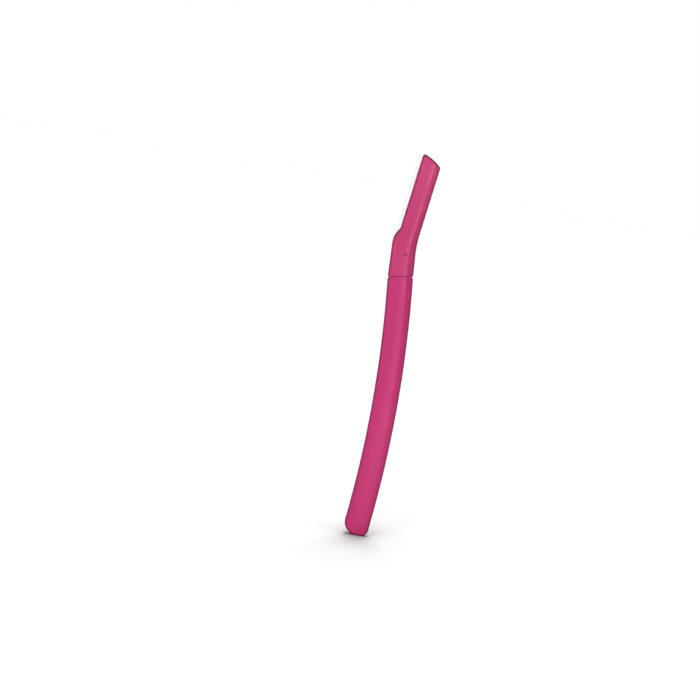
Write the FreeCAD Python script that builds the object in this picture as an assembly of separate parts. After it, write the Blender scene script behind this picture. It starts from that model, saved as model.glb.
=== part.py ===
import FreeCAD, Part
import os
from math import acos, asin, atan2, cos, degrees, floor, hypot, radians, sin
from FreeCAD import Placement, Rotation, Vector

# An eyebrow razor: a slim bowed handle, a plug-in head bent back from it, a strip of
# blade in the head's front edge and a slotted foil guard folded over the cutting edge.
# Millimetres and degrees. The origin is the grip point, where the handle's centreline
# bows out furthest. +Z runs up to the head, +X to the spine and -X to the cutting edge.
# The broad faces look along -Y and +Y, and the moulding is the same on both.
# A lean is a turn from +Z towards the spine. A frame's own X runs across to the spine,
# its own Y through the thickness and its own Z along the razor.

# Handle
bow_radius = 455.0
grip_to_butt = 53.6
grip_to_seam = 47.9
handle_width = 9.8
handle_blade_edge = 2.7
handle_spine_edge = 2.4
seam_thickness = 4.8
butt_thickness = 4.4
butt_blade_corner = 4.8
butt_spine_corner = 2.6
butt_crown = 0.35
handle_stations = 5

# Ridge along both broad faces: its place across the width, counted from the blade side,
# and how much of each slope its rounding takes up, from a crisp ridge to a full dome
seam_ridge_share = 0.68
butt_ridge_share = 0.57
seam_dome_share = 0.42
butt_dome_share = 0.96
tip_dome_share = 0.36

# Bevel where a broad face meets the narrow side
rim_bevel = 0.4

# Seam between handle and head: tilted from square and crowned, with a fine V groove all
# round and a wider V notch in each narrow side
seam_tilt_degrees = 3.7
seam_crown = 0.4
seam_gap = 0.05
groove_half_width = 0.13
notch_half_width = 0.5
notch_depth = 0.55

# Plug on the handle, which runs in the head's socket. Its long edges are rounded by a
# little more than the lead-in round its tip, so that the lead-in leaves them whole.
plug_length = 12.0
plug_width = 6.0
plug_thickness = 2.0
plug_lead = 0.35
plug_corner_past_lead = 0.05
plug_clearance = 0.05
socket_spare = 0.5

# Neck and holder of the head. The shoulder starts past the corner of the bend, and steps
# the blade side in to the holder, which is narrower than the handle.
neck_lean_degrees = -4.0
neck_length = 13.1
bend_radius = 42.0
bend_reach = 5.0
bend_thickness = 4.5
neck_stations = 3
shoulder_past_bend = 2.75
shoulder_inset = 0.5
shoulder_round = 8.0
shoulder_root = 4.4
root_round = 0.6
holder_lean_degrees = 7.4
holder_narrower_by = 2.0
holder_spine_length = 30.95
holder_thickness = 3.7
holder_stations = 7
holder_blade_edge = 2.0
holder_spine_edge = 1.9
tip_thickness = 3.1
tip_rise = 3.5
tip_crown = 0.55
tip_blade_corner = 0.9
tip_spine_corner = 1.4

# Round gate mark on the neck's front: a shallow dish with a nub in it
gate_above_seam = 9.0
gate_from_spine = 4.1
gate_diameter = 1.5
gate_depth = 0.55
gate_nub_diameter = 0.7
gate_nub_lift = 0.05

# Blade. From its edge inwards it shows, runs under the guard's legs, holds the pegs and
# ends a little behind them.
blade_thickness = 0.25
blade_show = 1.2
blade_in_shoulder = 2.5
blade_from_tip = 1.5
blade_grind = 0.55
blade_edge_flat = 0.02
blade_corner = 0.35
blade_fit = 0.02
peg_count = 3
peg_diameter = 1.1
peg_clearance = 0.05
peg_behind_foil = 0.15
blade_behind_peg = 0.45
peg_from_end = 4.0

# Guard: foil folded round the cutting edge, slotted so that the edge reaches the hair
foil_thickness = 0.1
foil_fit = 0.02
foil_nose_gap = 0.06
foil_tuck = 0.6
foil_past_blade = 0.75
slot_width = 0.4
slot_spacing = 0.9
slot_reach = 0.7
slot_end_land = 0.8

# How far cuts run past what they cut, and how near counts as touching
overrun = 1.0
touch = 0.005

# Worked out from the sizes above
plate_depth = 2 * seam_thickness
half_handle = handle_width / 2
plug_corner = plug_lead + plug_corner_past_lead
shoulder_start = neck_length + shoulder_past_bend
holder_width = handle_width - holder_narrower_by
seam_turn = degrees(asin(grip_to_seam / bow_radius))
butt_turn = -degrees(asin(grip_to_butt / bow_radius))
holder_length = holder_spine_length + tip_rise
blade_edge_x = -holder_width - blade_show
blade_width = blade_show + foil_tuck + peg_behind_foil + peg_diameter + blade_behind_peg
blade_back_x = blade_edge_x + blade_width
blade_start = shoulder_root - blade_in_shoulder
blade_end = holder_length - blade_from_tip
foil_gap = blade_thickness / 2 + foil_fit
foil_half = foil_gap + foil_thickness
foil_nose_x = blade_edge_x - foil_nose_gap - foil_thickness
foil_back_x = -holder_width + foil_tuck
foil_start = blade_start - foil_past_blade
foil_end = blade_end + foil_past_blade


def leaning_frame(point, lean):
    """A frame at a point of the plan, its Z leaning towards the spine."""
    return Placement(point, Rotation(Vector(0, 1, 0), lean))


def bow_frame(turn):
    """The frame on the handle's bowed centreline at a turn above the grip point."""
    angle = radians(turn)
    point = Vector(bow_radius * cos(angle) - bow_radius, 0, bow_radius * sin(angle))
    return leaning_frame(point, -turn)


def at(frame, across, along):
    """A point of the plan, given in a frame."""
    return frame.multVec(Vector(across, 0, along))


seam_centre = bow_frame(seam_turn).Base
seam_frame = leaning_frame(seam_centre, -seam_turn - seam_tilt_degrees)
neck_frame = leaning_frame(seam_centre, neck_lean_degrees)
bend_point = at(neck_frame, half_handle, neck_length)
holder_frame = leaning_frame(bend_point, holder_lean_degrees)


def line(start, end):
    return Part.LineSegment(start, end).toShape()


def arc(start, middle, end):
    return Part.Arc(start, middle, end).toShape()


def blend(start, end, share):
    return start + (end - start) * share


def plate(edges, depth=plate_depth):
    """A closed outline in the plan, made as thick as depth about the middle."""
    face = Part.Face(Part.Wire(edges))
    face.translate(Vector(0, -depth / 2, 0))
    return face.extrude(Vector(0, depth, 0))


def bar(frame, low, high, thickness):
    """A box in a frame, between two corners of the plan, as thick about the middle."""
    (low_x, low_z), (high_x, high_z) = low, high
    corner = Vector(low_x, -thickness / 2, low_z)
    box = Part.makeBox(high_x - low_x, thickness, high_z - low_z, corner)
    box.transformShape(frame.toMatrix())
    return box


def pin(frame, across, along, diameter, length):
    """A round pin through the thickness, its middle in the plan."""
    foot = Vector(across, -length / 2, along)
    rod = Part.makeCylinder(diameter / 2, length, foot, Vector(0, 1, 0))
    rod.transformShape(frame.toMatrix())
    return rod


def round_corners(solid, corners):
    """Round the edges that stand upright on corners of the plan, each by its radius."""
    for corner, radius in corners:
        upright = []
        for edge in solid.Edges:
            ends = [vertex.Point for vertex in edge.Vertexes]
            if all(hypot(p.x - corner.x, p.z - corner.z) < touch for p in ends):
                upright.append(edge)
        solid = solid.makeFillet(radius, upright)
    return solid


def slope(crest, rim, dome_share, past):
    """One slope of a section, from its crest out over its rim, as three points: halfway
    round the crest's arc, at the arc's end, and some way past the rim."""
    side = 1 if rim.x > crest.x else -1
    run = abs(rim.x - crest.x)
    drop = crest.y - rim.y
    radius = dome_share * (run ** 2 + drop ** 2) / (2 * drop)
    centre = Vector(crest.x, crest.y - radius, 0)
    turn = atan2(run, rim.y - centre.y) - acos(radius / centre.distanceToPoint(rim))
    middle = centre + Vector(side * sin(turn / 2), cos(turn / 2), 0) * radius
    end = centre + Vector(side * sin(turn), cos(turn), 0) * radius
    beyond = rim + Vector(side * cos(turn), -sin(turn), 0) * past
    return middle, end, beyond


def section(frame, width, thickness, edges, ridge_share, dome_share):
    """A section across the moulding, wider than its outline all along. The crests of both
    ridges are as far apart as thickness, and edges holds how thick the two rims are,
    first on the blade side."""
    crest = Vector((ridge_share - 1 / 2) * width, thickness / 2, 0)
    blade_rim = Vector(-width / 2, edges[0] / 2, 0)
    spine_rim = Vector(width / 2, edges[1] / 2, 0)
    blade_side = handle_width - width + overrun
    left_middle, left_end, left_far = slope(crest, blade_rim, dome_share, blade_side)
    right_middle, right_end, right_far = slope(crest, spine_rim, dome_share, overrun)

    def back(point):
        return Vector(point.x, -point.y, 0)

    wire = Part.Wire([
        line(left_far, left_end),
        arc(left_end, left_middle, crest),
        arc(crest, right_middle, right_end),
        line(right_end, right_far),
        line(right_far, back(right_far)),
        line(back(right_far), back(right_end)),
        arc(back(right_end), back(right_middle), back(crest)),
        arc(back(crest), back(left_middle), back(left_end)),
        line(back(left_end), back(left_far)),
        line(back(left_far), left_far),
    ])
    wire.transformShape(frame.toMatrix())
    return wire


def past_seam(lift, height):
    """The plate on one side of the seam: above it, or below where height is negative."""
    fall = 3 * seam_crown
    left = at(seam_frame, -handle_width, lift - fall)
    middle = at(seam_frame, 0, lift + seam_crown)
    right = at(seam_frame, handle_width, lift - fall)
    far_right = at(seam_frame, handle_width, height)
    far_left = at(seam_frame, -handle_width, height)
    return plate([
        arc(left, middle, right),
        line(right, far_right),
        line(far_right, far_left),
        line(far_left, left),
    ])


def seam_face(solid):
    """The face of a solid that lies along the seam."""
    middle = Part.Vertex(at(seam_frame, 0, seam_crown))
    return min(solid.Faces, key=lambda face: face.distToShape(middle)[0])


def bevel_rims(solid, outline):
    """Bevel the edges where the broad faces meet the outline, but for those on the seam."""
    walls = outline.Shells[0]
    seam = seam_face(solid)
    rims = []
    for edge in solid.Edges:
        middle = edge.valueAt(sum(edge.ParameterRange) / 2)
        here = Part.Vertex(middle)
        in_side = abs(middle.y) < touch
        on_outline = walls.distToShape(here)[0] < touch
        on_seam = seam.distToShape(here)[0] < touch
        if on_outline and not in_side and not on_seam:
            rims.append(edge)
    return solid.makeChamfer(rim_bevel, rims)


def bevel_seam(solid):
    """Half of the V groove, cut round the mating face."""
    return solid.makeChamfer(groove_half_width, seam_face(solid).OuterWire.Edges)


def seam_notches():
    """The V notches that the seam ends in, through both narrow sides."""
    inner = half_handle - notch_depth
    outer = half_handle + overrun
    middle = seam_crown + seam_gap / 2 - 4 * seam_crown * (inner / handle_width) ** 2
    spread = notch_half_width * (notch_depth + overrun) / notch_depth
    notches = []
    for side in (-1, 1):
        root = at(seam_frame, side * inner, middle)
        upper = at(seam_frame, side * outer, middle + spread)
        lower = at(seam_frame, side * outer, middle - spread)
        notches.append(plate([line(root, upper), line(upper, lower), line(lower, root)]))
    return notches


def plug_bar(clearance, end, lead):
    """The plug, or its socket: a flat bar along the neck with rounded long edges."""
    half = plug_width / 2 + clearance
    thickness = plug_thickness + 2 * clearance
    solid = bar(Placement(), (-half, -2 * overrun), (half, end), thickness)
    long_edges = [e for e in solid.Edges if e.Length > thickness and e.BoundBox.XLength < touch]
    solid = solid.makeFillet(plug_corner + clearance, long_edges)
    if lead:
        tip = max(solid.Faces, key=lambda face: face.CenterOfMass.z)
        solid = solid.makeChamfer(lead, tip.OuterWire.Edges)
    solid.transformShape(neck_frame.toMatrix())
    return solid


def handle_outline():
    """Two bowed sides and a crowned butt with unequal corners; it runs past the seam."""
    low = bow_frame(butt_turn)
    high = bow_frame(seam_turn + degrees(2 * overrun / bow_radius))
    middle = bow_frame(0)
    low_left = at(low, -half_handle, butt_crown)
    low_right = at(low, half_handle, butt_crown)
    high_left = at(high, -half_handle, 0)
    high_right = at(high, half_handle, 0)
    solid = plate([
        arc(low_left, at(middle, -half_handle, 0), high_left),
        line(high_left, high_right),
        arc(high_right, at(middle, half_handle, 0), low_right),
        arc(low_right, low.Base, low_left),
    ])
    corners = [(low_left, butt_blade_corner), (low_right, butt_spine_corner)]
    return round_corners(solid, corners)


def handle_loft():
    """The handle's two broad faces, from a dome at the butt to a ridge at the seam."""
    reach = degrees(3 * overrun / bow_radius)
    sections = []
    for station in range(handle_stations):
        share = station / (handle_stations - 1)
        sections.append(section(
            bow_frame(blend(butt_turn - reach, seam_turn + reach, share)),
            handle_width,
            blend(butt_thickness, seam_thickness, share),
            (handle_blade_edge, handle_spine_edge),
            blend(butt_ridge_share, seam_ridge_share, share),
            blend(butt_dome_share, seam_dome_share, share),
        ))
    return Part.makeLoft(sections, True)


def make_handle():
    outline = handle_outline().cut(past_seam(0, handle_width))
    body = outline.common(handle_loft())
    body = bevel_seam(bevel_rims(body, outline)).cut(seam_notches())
    return body.fuse(plug_bar(0, plug_length, plug_lead)).removeSplitter()


def head_outline():
    """Neck, shoulder, slim holder and slanted, crowned tip; it starts below the seam."""
    low_left = at(neck_frame, -half_handle, -2 * overrun)
    low_right = at(neck_frame, half_handle, -2 * overrun)
    shoulder = at(neck_frame, shoulder_inset - half_handle, shoulder_start)
    root = at(holder_frame, -holder_width, shoulder_root)
    tip_left = at(holder_frame, -holder_width, holder_length)
    tip_right = at(holder_frame, 0, holder_spine_length)
    tip_chord = leaning_frame((tip_left + tip_right) / 2, holder_lean_degrees)
    solid = plate([
        line(low_left, shoulder),
        line(shoulder, root),
        line(root, tip_left),
        arc(tip_left, at(tip_chord, 0, tip_crown), tip_right),
        line(tip_right, bend_point),
        line(bend_point, low_right),
        line(low_right, low_left),
    ])
    return round_corners(solid, [
        (shoulder, shoulder_round),
        (root, root_round),
        (tip_left, tip_blade_corner),
        (tip_right, tip_spine_corner),
        (bend_point, bend_radius),
    ])


def neck_section(along, thickness):
    edges = (handle_blade_edge, handle_spine_edge)
    frame = leaning_frame(at(neck_frame, 0, along), neck_lean_degrees)
    return section(frame, handle_width, thickness, edges, seam_ridge_share, seam_dome_share)


def holder_section(along, thickness):
    edges = (holder_blade_edge, holder_spine_edge)
    frame = leaning_frame(at(holder_frame, -holder_width / 2, along), holder_lean_degrees)
    return section(frame, holder_width, thickness, edges, seam_ridge_share, tip_dome_share)


def head_loft():
    """The head's two broad faces, which thin from the neck to the holder and its tip."""
    sections = []
    bottom = -3 * overrun
    top = neck_length - bend_reach
    for station in range(neck_stations):
        share = station / (neck_stations - 1)
        thickness = blend(seam_thickness, bend_thickness, share ** 2)
        sections.append(neck_section(blend(bottom, top, share), thickness))
    bottom = bend_reach
    top = holder_length + overrun
    for station in range(holder_stations):
        share = station / (holder_stations - 1)
        thickness = blend(tip_thickness, holder_thickness, (1 - share) ** 2)
        sections.append(holder_section(blend(bottom, top, share), thickness))
    return Part.makeLoft(sections, True)


def blade_pocket():
    """The slot that holds the blade, wider at its mouth for the guard's folded legs, and
    crossed by the pegs that the blade's holes sit on."""
    outer = blade_edge_x - 2 * overrun
    low = (outer, blade_start - blade_fit)
    high = (blade_back_x + blade_fit, blade_end + blade_fit)
    slot = bar(holder_frame, low, high, blade_thickness + 2 * blade_fit)
    low = (outer, foil_start - foil_fit)
    high = (foil_back_x + foil_fit, foil_end + foil_fit)
    mouth = bar(holder_frame, low, high, 2 * (foil_half + foil_fit))
    return slot.fuse(mouth).cut(pegs(peg_diameter))


def pegs(diameter):
    """The pegs through the blade, or the holes that they leave in it."""
    first = blade_start + peg_from_end
    last = blade_end - peg_from_end
    across = blade_back_x - blade_behind_peg - peg_diameter / 2
    rods = []
    for peg in range(peg_count):
        along = blend(first, last, peg / (peg_count - 1))
        rods.append(pin(holder_frame, across, along, diameter, holder_blade_edge))
    return rods


def gate_mark():
    """The dish of the gate mark, with its nub left standing, on the front face."""
    across = half_handle - gate_from_spine
    frame = leaning_frame(at(neck_frame, across, gate_above_seam), neck_lean_degrees)
    floor_y = -seam_thickness / 2 + gate_depth
    foot = Vector(0, floor_y, 0)
    outward = Vector(0, -1, 0)
    dish = Part.makeCylinder(gate_diameter / 2, overrun, foot, outward)
    nub = Part.makeSphere(gate_nub_diameter / 2, foot + outward * gate_nub_lift)
    dish = dish.cut(nub)
    dish.transformShape(frame.toMatrix())
    return dish


def make_head():
    outline = head_outline().cut(past_seam(seam_gap, -handle_width))
    body = outline.common(head_loft())
    body = bevel_seam(bevel_rims(body, outline))
    socket = plug_bar(plug_clearance, plug_length + socket_spare, 0)
    return body.cut([socket, blade_pocket(), gate_mark()] + seam_notches())


def make_blade():
    """A ground strip with rounded corners and a hole for each peg."""
    half = blade_thickness / 2
    edge_half = blade_edge_flat / 2
    grind_x = blade_edge_x + blade_grind
    profile = [
        Vector(blade_back_x, -half, blade_start),
        Vector(blade_back_x, half, blade_start),
        Vector(grind_x, half, blade_start),
        Vector(blade_edge_x, edge_half, blade_start),
        Vector(blade_edge_x, -edge_half, blade_start),
        Vector(grind_x, -half, blade_start),
    ]
    ground = Part.Face(Part.makePolygon(profile + profile[:1]))
    ground = ground.extrude(Vector(0, 0, blade_end - blade_start))
    strip = bar(Placement(), (blade_edge_x, blade_start), (blade_back_x, blade_end), overrun)
    upright = [e for e in strip.Edges if e.BoundBox.YLength > overrun / 2]
    solid = ground.common(strip.makeFillet(blade_corner, upright))
    solid.transformShape(holder_frame.toMatrix())
    return solid.cut(pegs(peg_diameter + 2 * peg_clearance))


def foil_channel():
    """The guard before slotting: a narrow U folded round the cutting edge."""

    def fold(half, nose):
        """One skin of the fold, as three edges round the nose."""
        low = Vector(foil_back_x, -half, foil_start)
        low_end = Vector(nose + half, -half, foil_start)
        tip = Vector(nose, 0, foil_start)
        high_end = Vector(nose + half, half, foil_start)
        high = Vector(foil_back_x, half, foil_start)
        return [line(low, low_end), arc(low_end, tip, high_end), line(high_end, high)], low, high

    outer, outer_low, outer_high = fold(foil_half, foil_nose_x)
    inner, inner_low, inner_high = fold(foil_gap, foil_nose_x + foil_thickness)
    hems = [line(outer_high, inner_high), line(inner_low, outer_low)]
    face = Part.Face(Part.Wire(Part.__sortEdges__(outer + inner + hems)))
    return face.extrude(Vector(0, 0, foil_end - foil_start))


def foil_slot(along):
    """One slot of the guard, open at the nose."""
    half = slot_width / 2
    low = (foil_nose_x - overrun, along - half)
    high = (foil_nose_x + slot_reach, along + half)
    return bar(Placement(), low, high, 2 * foil_half + overrun)


def make_blade_guard():
    """The folded foil with its row of slots, centred along it."""
    length = foil_end - foil_start
    gaps = floor((length - 2 * slot_end_land - slot_width) / slot_spacing)
    first = foil_start + (length - gaps * slot_spacing) / 2
    slots = [foil_slot(first + slot * slot_spacing) for slot in range(gaps + 1)]
    solid = foil_channel().cut(slots)
    solid.transformShape(holder_frame.toMatrix())
    return solid


def main():
    os.makedirs("parts", exist_ok=True)
    nodes = {
        "handle": make_handle(),
        "head": make_head(),
        "blade": make_blade(),
        "blade_guard": make_blade_guard(),
    }
    for name, shape in nodes.items():
        shape.exportStep(f"parts/{name}.step")


main()
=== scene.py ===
from math import cos, pi, radians, sin

import bpy
from mathutils import Matrix, Vector


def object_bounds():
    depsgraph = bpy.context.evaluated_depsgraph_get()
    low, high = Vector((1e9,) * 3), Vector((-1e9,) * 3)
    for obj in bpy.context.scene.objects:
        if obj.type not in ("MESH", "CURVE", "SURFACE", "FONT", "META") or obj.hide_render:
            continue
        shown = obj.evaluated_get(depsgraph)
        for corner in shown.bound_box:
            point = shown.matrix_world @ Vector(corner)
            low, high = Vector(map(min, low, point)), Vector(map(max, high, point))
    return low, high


# The looks of an eyebrow razor: pink moulded plastic, a blade strip and a bright slotted
# foil, standing on a plain pale floor. Metres. The razor's front looks along -Y, its spine
# along +X and its cutting edge along -X.

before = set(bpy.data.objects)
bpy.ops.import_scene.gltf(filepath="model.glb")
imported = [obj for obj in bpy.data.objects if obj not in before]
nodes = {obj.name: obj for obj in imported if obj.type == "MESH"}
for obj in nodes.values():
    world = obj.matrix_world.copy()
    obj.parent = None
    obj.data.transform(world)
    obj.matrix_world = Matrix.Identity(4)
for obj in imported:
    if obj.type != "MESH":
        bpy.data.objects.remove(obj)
cad_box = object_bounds()

# Picture: the width that it spans at the razor, the razor's point at its middle, how far
# the razor leans to the right in it and how far the camera looks down
picture_width = 0.2703
picture_middle = Vector((-0.01685, 0, 0.01693))
picture_lean = radians(9.78)
look_down = radians(6)

# The camera: its lens and sensor in millimetres, and the nearest and furthest that it sees
lens = 150
sensor = 36
nearest = 0.01
furthest = 20

# Lamps, each a soft sun: the share of full light that it throws on a surface facing it,
# where it stands round the razor and over it, and how wide it is, in degrees
lamps = {
    "key": {"share": 0.39, "azimuth": -12, "elevation": 50, "width": 30},
    "top": {"share": 0.26, "azimuth": 0, "elevation": 84, "width": 20},
    "back": {"share": 0.60, "azimuth": 172, "elevation": 55, "width": 30},
}

# A soft box that the head's ridge mirrors: its power, size, place round the razor and
# distance, and the height of its middle
box_watts = 0.62
box_width = 0.2
box_height = 0.12
box_azimuth = radians(6)
box_distance = 0.6
box_level = 0.075

# The backdrop's colour, and the strength of the even light that comes from all round
white = (1, 1, 1, 1)
world_fill = 0.12

# The floor: half its side, its tone, and the light that makes it as white as the backdrop
floor_half = 3.0
floor_tone = 0.85
floor_lift = 0.03

# The painted shadow at the razor's foot, over the lamps' own shadow: how far the razor
# reaches to darken the floor, the floor's painted tone where it is darkest, and how open
# to the sky the floor is there
foot_reach = 0.036
painted_shadow_tone = 0.2
foot_openness = 0.45
foot_samples = 16

# The plastic: the two tones that flow into each other, the depth of the waves in its
# surface, and how far it leans to the spine where painted shade starts to darken it
plastics = {
    "handle": {
        "name": "handle_plastic",
        "deep": (0.515, 0.016, 0.140),
        "pale": (0.570, 0.022, 0.166),
        "wave_depth": 0.000015,
        "spine_from": 0.25,
    },
    "head": {
        "name": "head_plastic",
        "deep": (0.515, 0.028, 0.145),
        "pale": (0.570, 0.036, 0.172),
        "wave_depth": 0.00003,
        "spine_from": 0.17,
    },
}

# Painted shade: its tones on the plastic's sides, and on the upward edges of the shoulder
# and the tip
side_painted_shade = (0.26, 0.013, 0.074)
top_painted_shade = (0.14, 0.006, 0.052)

# How far the plastic's edges are eased
edge_round = 0.0012
edge_samples = 8

# How much of the eased surface's normal points to the spine, to the blade (below 0) and
# up, where the painted shade starts and where it is full
spine_full = 0.7
blade_from = -0.12
blade_full = -0.8
upward_from = 0.07
upward_full = 0.32

# The painted shade stays lighter on the narrow sides than on the edges round them: how
# much of the normal points out of the broad faces where a side is wholly narrow and where
# it no longer is, and how much of the painted shade the narrow sides lose
narrow_full = 0.1
narrow_from = 0.45
narrow_relief = 0.75

# The heights between which the painted shade on the upward edges of the shoulder and the
# tip begins
edge_shade_from = 0.0605
edge_shade_full = 0.062

# The plastic's roughness, from its smoother to its duller patches, and how strongly its
# faces and its edges under painted shade mirror
plastic_rough = (0.33, 0.46)
face_mirror = 0.4
edge_mirror = 0.12

# The steel: its tones along the grain, its range of roughness, and the tone painted where
# it turns to the edge, painted shade on the blade and painted light on the guard
steels = {
    "blade": {
        "name": "blade_steel",
        "dark": (0.66, 0.67, 0.68),
        "light": (0.78, 0.79, 0.80),
        "rough": (0.35, 0.5),
        "painted_edge": (0.5, 0.51, 0.52),
    },
    "blade_guard": {
        "name": "guard_steel",
        "dark": (0.62, 0.63, 0.64),
        "light": (0.72, 0.73, 0.74),
        "rough": (0.56, 0.68),
        "painted_edge": (0.78, 0.79, 0.80),
    },
}

# How much of the steel's normal points out of the broad faces, where the painted tone of
# its edge is full and where it ends
painted_edge_full = 0.5
painted_edge_from = 0.95

# Noises over the surface: grains to the metre, levels of detail and stretch
flow_marks = {"scale": 60, "detail": 3, "stretch": (1, 1, 0.35)}
dull_patches = {"scale": 150, "detail": 1}
waves = {"scale": 300, "detail": 2}
fine_grain = {"scale": 5000, "detail": 2}
steel_grain = {"scale": 9000, "detail": 3, "stretch": (1, 1, 0.04)}

# The span that a noise's values mostly keep to, and the depths of the two grains
noise_span = (0.3, 0.7)
fine_grain_depth = 0.000002
steel_grain_depth = 0.0000015


def make_camera():
    """The camera at the photograph's viewing angle, turned by the razor's lean."""
    right = Vector((cos(picture_lean), 0, sin(picture_lean)))
    level_up = Vector((-sin(picture_lean), 0, cos(picture_lean)))
    forward = Vector((0, cos(look_down), 0)) - level_up * sin(look_down)
    up = level_up * cos(look_down) + Vector((0, sin(look_down), 0))
    data = bpy.data.cameras.new("camera")
    data.lens = lens
    data.sensor_width = sensor
    data.clip_start = nearest
    data.clip_end = furthest
    camera = bpy.data.objects.new("camera", data)
    bpy.context.scene.collection.objects.link(camera)
    place = Matrix((right, up, -forward)).transposed().to_4x4()
    place.translation = picture_middle - forward * (picture_width * lens / sensor)
    camera.matrix_world = place
    bpy.context.scene.camera = camera


def add_lamp(data, towards):
    """An object for the lamp's data, which shines from the direction given."""
    lamp = bpy.data.objects.new(data.name, data)
    bpy.context.scene.collection.objects.link(lamp)
    lamp.rotation_mode = "QUATERNION"
    lamp.rotation_quaternion = towards.to_track_quat("Z", "Y")
    return lamp


def make_sun(name, share, azimuth, elevation, width):
    data = bpy.data.lights.new(name, "SUN")
    data.energy = share * pi
    data.angle = radians(width)
    turn = radians(azimuth)
    rise = radians(elevation)
    add_lamp(data, Vector((sin(turn) * cos(rise), -cos(turn) * cos(rise), sin(rise))))


def make_soft_box():
    data = bpy.data.lights.new("soft_box", "AREA")
    data.energy = box_watts
    data.shape = "RECTANGLE"
    data.size = box_width
    data.size_y = box_height
    aside = Vector((sin(box_azimuth), -cos(box_azimuth), 0))
    lamp = add_lamp(data, aside)
    lamp.visible_camera = False
    lamp.location = aside * box_distance + Vector((0, 0, box_level))


def calc(tree, operation, first, second=None):
    """The result of a Math node, from sockets or plain numbers."""
    node = tree.nodes.new("ShaderNodeMath")
    node.operation = operation
    for socket, value in zip(node.inputs, (first, second)):
        if isinstance(value, (int, float)):
            socket.default_value = value
        elif value is not None:
            tree.links.new(value, socket)
    return node.outputs[0]


def ramp(tree, source, low, high, at_low, at_high):
    """A value that runs from at_low to at_high as its source runs from low to high."""
    node = tree.nodes.new("ShaderNodeMapRange")
    node.inputs["From Min"].default_value = low
    node.inputs["From Max"].default_value = high
    node.inputs["To Min"].default_value = at_low
    node.inputs["To Max"].default_value = at_high
    tree.links.new(source, node.inputs["Value"])
    return node.outputs["Result"]


def axis_of(tree, vector, axis):
    """One of a vector's three parts."""
    node = tree.nodes.new("ShaderNodeSeparateXYZ")
    tree.links.new(vector, node.inputs[0])
    return node.outputs[axis]


def noise(tree, place, scale, detail, stretch=(1, 1, 1)):
    """A noise over the razor's own space, of so many grains to the metre."""
    mapping = tree.nodes.new("ShaderNodeMapping")
    mapping.inputs["Scale"].default_value = stretch
    tree.links.new(place, mapping.inputs["Vector"])
    texture = tree.nodes.new("ShaderNodeTexNoise")
    texture.inputs["Scale"].default_value = scale
    texture.inputs["Detail"].default_value = detail
    tree.links.new(mapping.outputs["Vector"], texture.inputs["Vector"])
    return texture.outputs["Fac"]


def mixed(tree, factor, low, high):
    """A colour between two others, each a socket or three plain numbers."""
    node = tree.nodes.new("ShaderNodeMix")
    node.data_type = "RGBA"
    tree.links.new(factor, node.inputs["Factor"])
    ends = [socket for socket in node.inputs if socket.type == "RGBA"]
    for socket, colour in zip(ends, (low, high)):
        if isinstance(colour, tuple):
            socket.default_value = (*colour, 1)
        else:
            tree.links.new(colour, socket)
    return next(socket for socket in node.outputs if socket.type == "RGBA")


def bump(tree, height, depth, before=None):
    """A normal that a height of the given depth roughens, over the one before it."""
    node = tree.nodes.new("ShaderNodeBump")
    node.inputs["Strength"].default_value = 1
    node.inputs["Distance"].default_value = depth
    tree.links.new(height, node.inputs["Height"])
    if before:
        tree.links.new(before, node.inputs["Normal"])
    return node.outputs["Normal"]


def seen_directly(tree):
    """1 for rays from the camera and for those that mirror or pass to what they show."""
    rays = tree.nodes.new("ShaderNodeLightPath").outputs
    shown = calc(tree, "MAXIMUM", rays["Is Camera Ray"], rays["Is Glossy Ray"])
    return calc(tree, "MAXIMUM", shown, rays["Is Transmission Ray"])


def make_world():
    """A white backdrop for what is seen directly, and a weaker even light for the rest."""
    world = bpy.data.worlds.new("studio")
    bpy.context.scene.world = world
    world.use_nodes = True
    tree = world.node_tree
    tree.nodes.clear()
    fill = tree.nodes.new("ShaderNodeBackground")
    fill.inputs["Color"].default_value = white
    fill.inputs["Strength"].default_value = world_fill
    backdrop = tree.nodes.new("ShaderNodeBackground")
    backdrop.inputs["Color"].default_value = white
    mix = tree.nodes.new("ShaderNodeMixShader")
    out = tree.nodes.new("ShaderNodeOutputWorld")
    tree.links.new(seen_directly(tree), mix.inputs["Fac"])
    tree.links.new(fill.outputs[0], mix.inputs[1])
    tree.links.new(backdrop.outputs[0], mix.inputs[2])
    tree.links.new(mix.outputs[0], out.inputs["Surface"])


def floor_material():
    """Matt and pale, with a painted shadow that darkens its colour near the razor's foot.
    Its own light, which only direct rays see, makes it as white as the backdrop and keeps
    the shadow on it."""
    material = bpy.data.materials.new("floor")
    material.use_nodes = True
    tree = material.node_tree
    tree.nodes.clear()
    matt = tree.nodes.new("ShaderNodeBsdfDiffuse")
    # Painted shadow: the floor's colour darkens where the razor closes it off from the sky
    openness = tree.nodes.new("ShaderNodeAmbientOcclusion")
    openness.samples = foot_samples
    openness.inputs["Distance"].default_value = foot_reach
    tone = ramp(tree, openness.outputs["AO"], foot_openness, 1, painted_shadow_tone, floor_tone)
    tree.links.new(tone, matt.inputs["Color"])
    lift = tree.nodes.new("ShaderNodeEmission")
    strength = calc(tree, "MULTIPLY", seen_directly(tree), floor_lift)
    tree.links.new(strength, lift.inputs["Strength"])
    both = tree.nodes.new("ShaderNodeAddShader")
    out = tree.nodes.new("ShaderNodeOutputMaterial")
    tree.links.new(matt.outputs[0], both.inputs[0])
    tree.links.new(lift.outputs[0], both.inputs[1])
    tree.links.new(both.outputs[0], out.inputs["Surface"])
    return material


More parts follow.
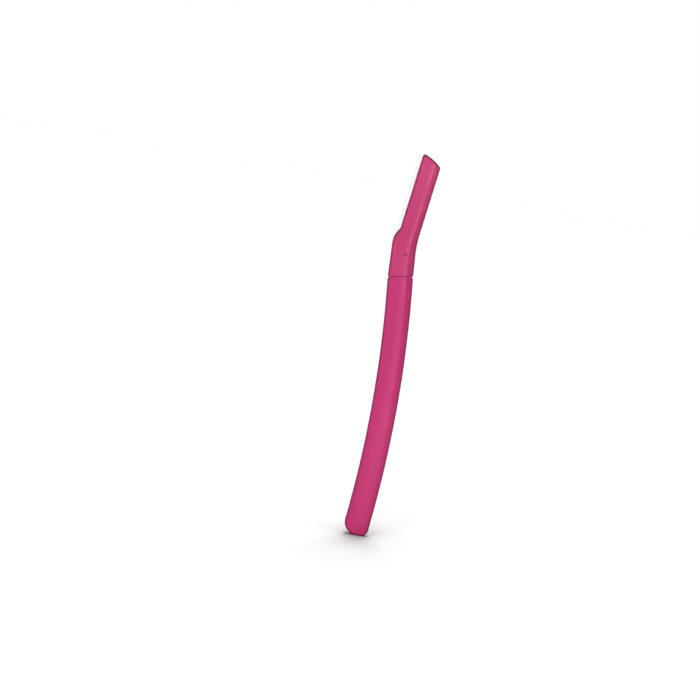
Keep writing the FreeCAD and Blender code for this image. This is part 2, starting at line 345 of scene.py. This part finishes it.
def make_floor():
    """A square floor at the height of the razor's lowest point."""
    mesh = bpy.data.meshes.new("floor")
    square = ((-1, -1), (1, -1), (1, 1), (-1, 1))
    corners = [(x * floor_half, y * floor_half, cad_box[0].z) for x, y in square]
    mesh.from_pydata(corners, [], [(0, 1, 2, 3)])
    mesh.materials.append(floor_material())
    floor = bpy.data.objects.new("floor", mesh)
    bpy.context.scene.collection.objects.link(floor)


def new_material(name):
    material = bpy.data.materials.new(name)
    material.use_nodes = True
    tree = material.node_tree
    return material, tree, tree.nodes["Principled BSDF"]


def plastic_material(name, deep, pale, wave_depth, spine_from):
    """Pink moulded plastic that flows from a deep to a pale tone, with painted shade where
    it turns to the narrow sides and to the upward edges of the shoulder and the tip."""
    material, tree, shader = new_material(name)
    here = tree.nodes.new("ShaderNodeTexCoord").outputs["Object"]
    bevel = tree.nodes.new("ShaderNodeBevel")
    bevel.samples = edge_samples
    bevel.inputs["Radius"].default_value = edge_round
    eased = bevel.outputs["Normal"]

    # Painted shade: masks where the eased normal turns to the spine, the blade edge and
    # upward, lighter again on the flats of the narrow sides
    across = axis_of(tree, eased, "X")
    to_spine = ramp(tree, across, spine_from, spine_full, 0, 1)
    to_blade = ramp(tree, across, blade_full, blade_from, 1, 0)
    out_of_face = calc(tree, "ABSOLUTE", axis_of(tree, eased, "Y"))
    on_narrow = ramp(tree, out_of_face, narrow_full, narrow_from, narrow_relief, 0)
    side_shade_mask = calc(tree, "SUBTRACT", calc(tree, "MAXIMUM", to_spine, to_blade), on_narrow)
    upward = ramp(tree, axis_of(tree, eased, "Z"), upward_from, upward_full, 0, 1)
    above = ramp(tree, axis_of(tree, here, "Z"), edge_shade_from, edge_shade_full, 0, 1)
    top_shade_mask = calc(tree, "SUBTRACT", calc(tree, "MULTIPLY", upward, above), on_narrow)

    flow = ramp(tree, noise(tree, here, **flow_marks), *noise_span, 0, 1)
    # The flow gives the plastic's own tones; the side and top masks lay painted shade over
    # them
    colour = mixed(tree, side_shade_mask, mixed(tree, flow, deep, pale), side_painted_shade)
    tree.links.new(mixed(tree, top_shade_mask, colour, top_painted_shade), shader.inputs["Base Color"])

    rough = ramp(tree, noise(tree, here, **dull_patches), *noise_span, *plastic_rough)
    tree.links.new(rough, shader.inputs["Roughness"])
    wavy = bump(tree, noise(tree, here, **waves), wave_depth, eased)
    grainy = bump(tree, noise(tree, here, **fine_grain), fine_grain_depth, wavy)
    tree.links.new(grainy, shader.inputs["Normal"])
    # Where the painted shade lies, the plastic mirrors less
    painted_edge = calc(tree, "MAXIMUM", side_shade_mask, top_shade_mask)
    mirror = ramp(tree, painted_edge, 0, 1, face_mirror, edge_mirror)
    tree.links.new(mirror, shader.inputs["Specular IOR Level"])
    return material


def steel_material(name, dark, light, rough, painted_edge):
    """Bright steel with a fine grain along the holder, and a tone painted where it turns
    to the edge, as painted shade on the blade and painted light on the guard."""
    material, tree, shader = new_material(name)
    place = tree.nodes.new("ShaderNodeTexCoord")
    grain = noise(tree, place.outputs["Object"], **steel_grain)
    face = mixed(tree, ramp(tree, grain, *noise_span, 0, 1), dark, light)
    out_of_face = calc(tree, "ABSOLUTE", axis_of(tree, place.outputs["Normal"], "Y"))
    painted_edge_mask = ramp(tree, out_of_face, painted_edge_full, painted_edge_from, 1, 0)
    tree.links.new(mixed(tree, painted_edge_mask, face, painted_edge), shader.inputs["Base Color"])
    tree.links.new(ramp(tree, grain, *noise_span, *rough), shader.inputs["Roughness"])
    tree.links.new(bump(tree, grain, steel_grain_depth), shader.inputs["Normal"])
    shader.inputs["Metallic"].default_value = 1
    return material


def dress(node, material):
    """Gives a CAD node its material. Its mesh stays as it is."""
    for slot in nodes[node].material_slots:
        slot.material = material


make_camera()
for lamp_name, lamp in lamps.items():
    make_sun(lamp_name, **lamp)
make_soft_box()
make_world()
make_floor()

for node, look in plastics.items():
    dress(node, plastic_material(**look))
for node, look in steels.items():
    dress(node, steel_material(**look))

bpy.context.scene.view_settings.view_transform = "Standard"
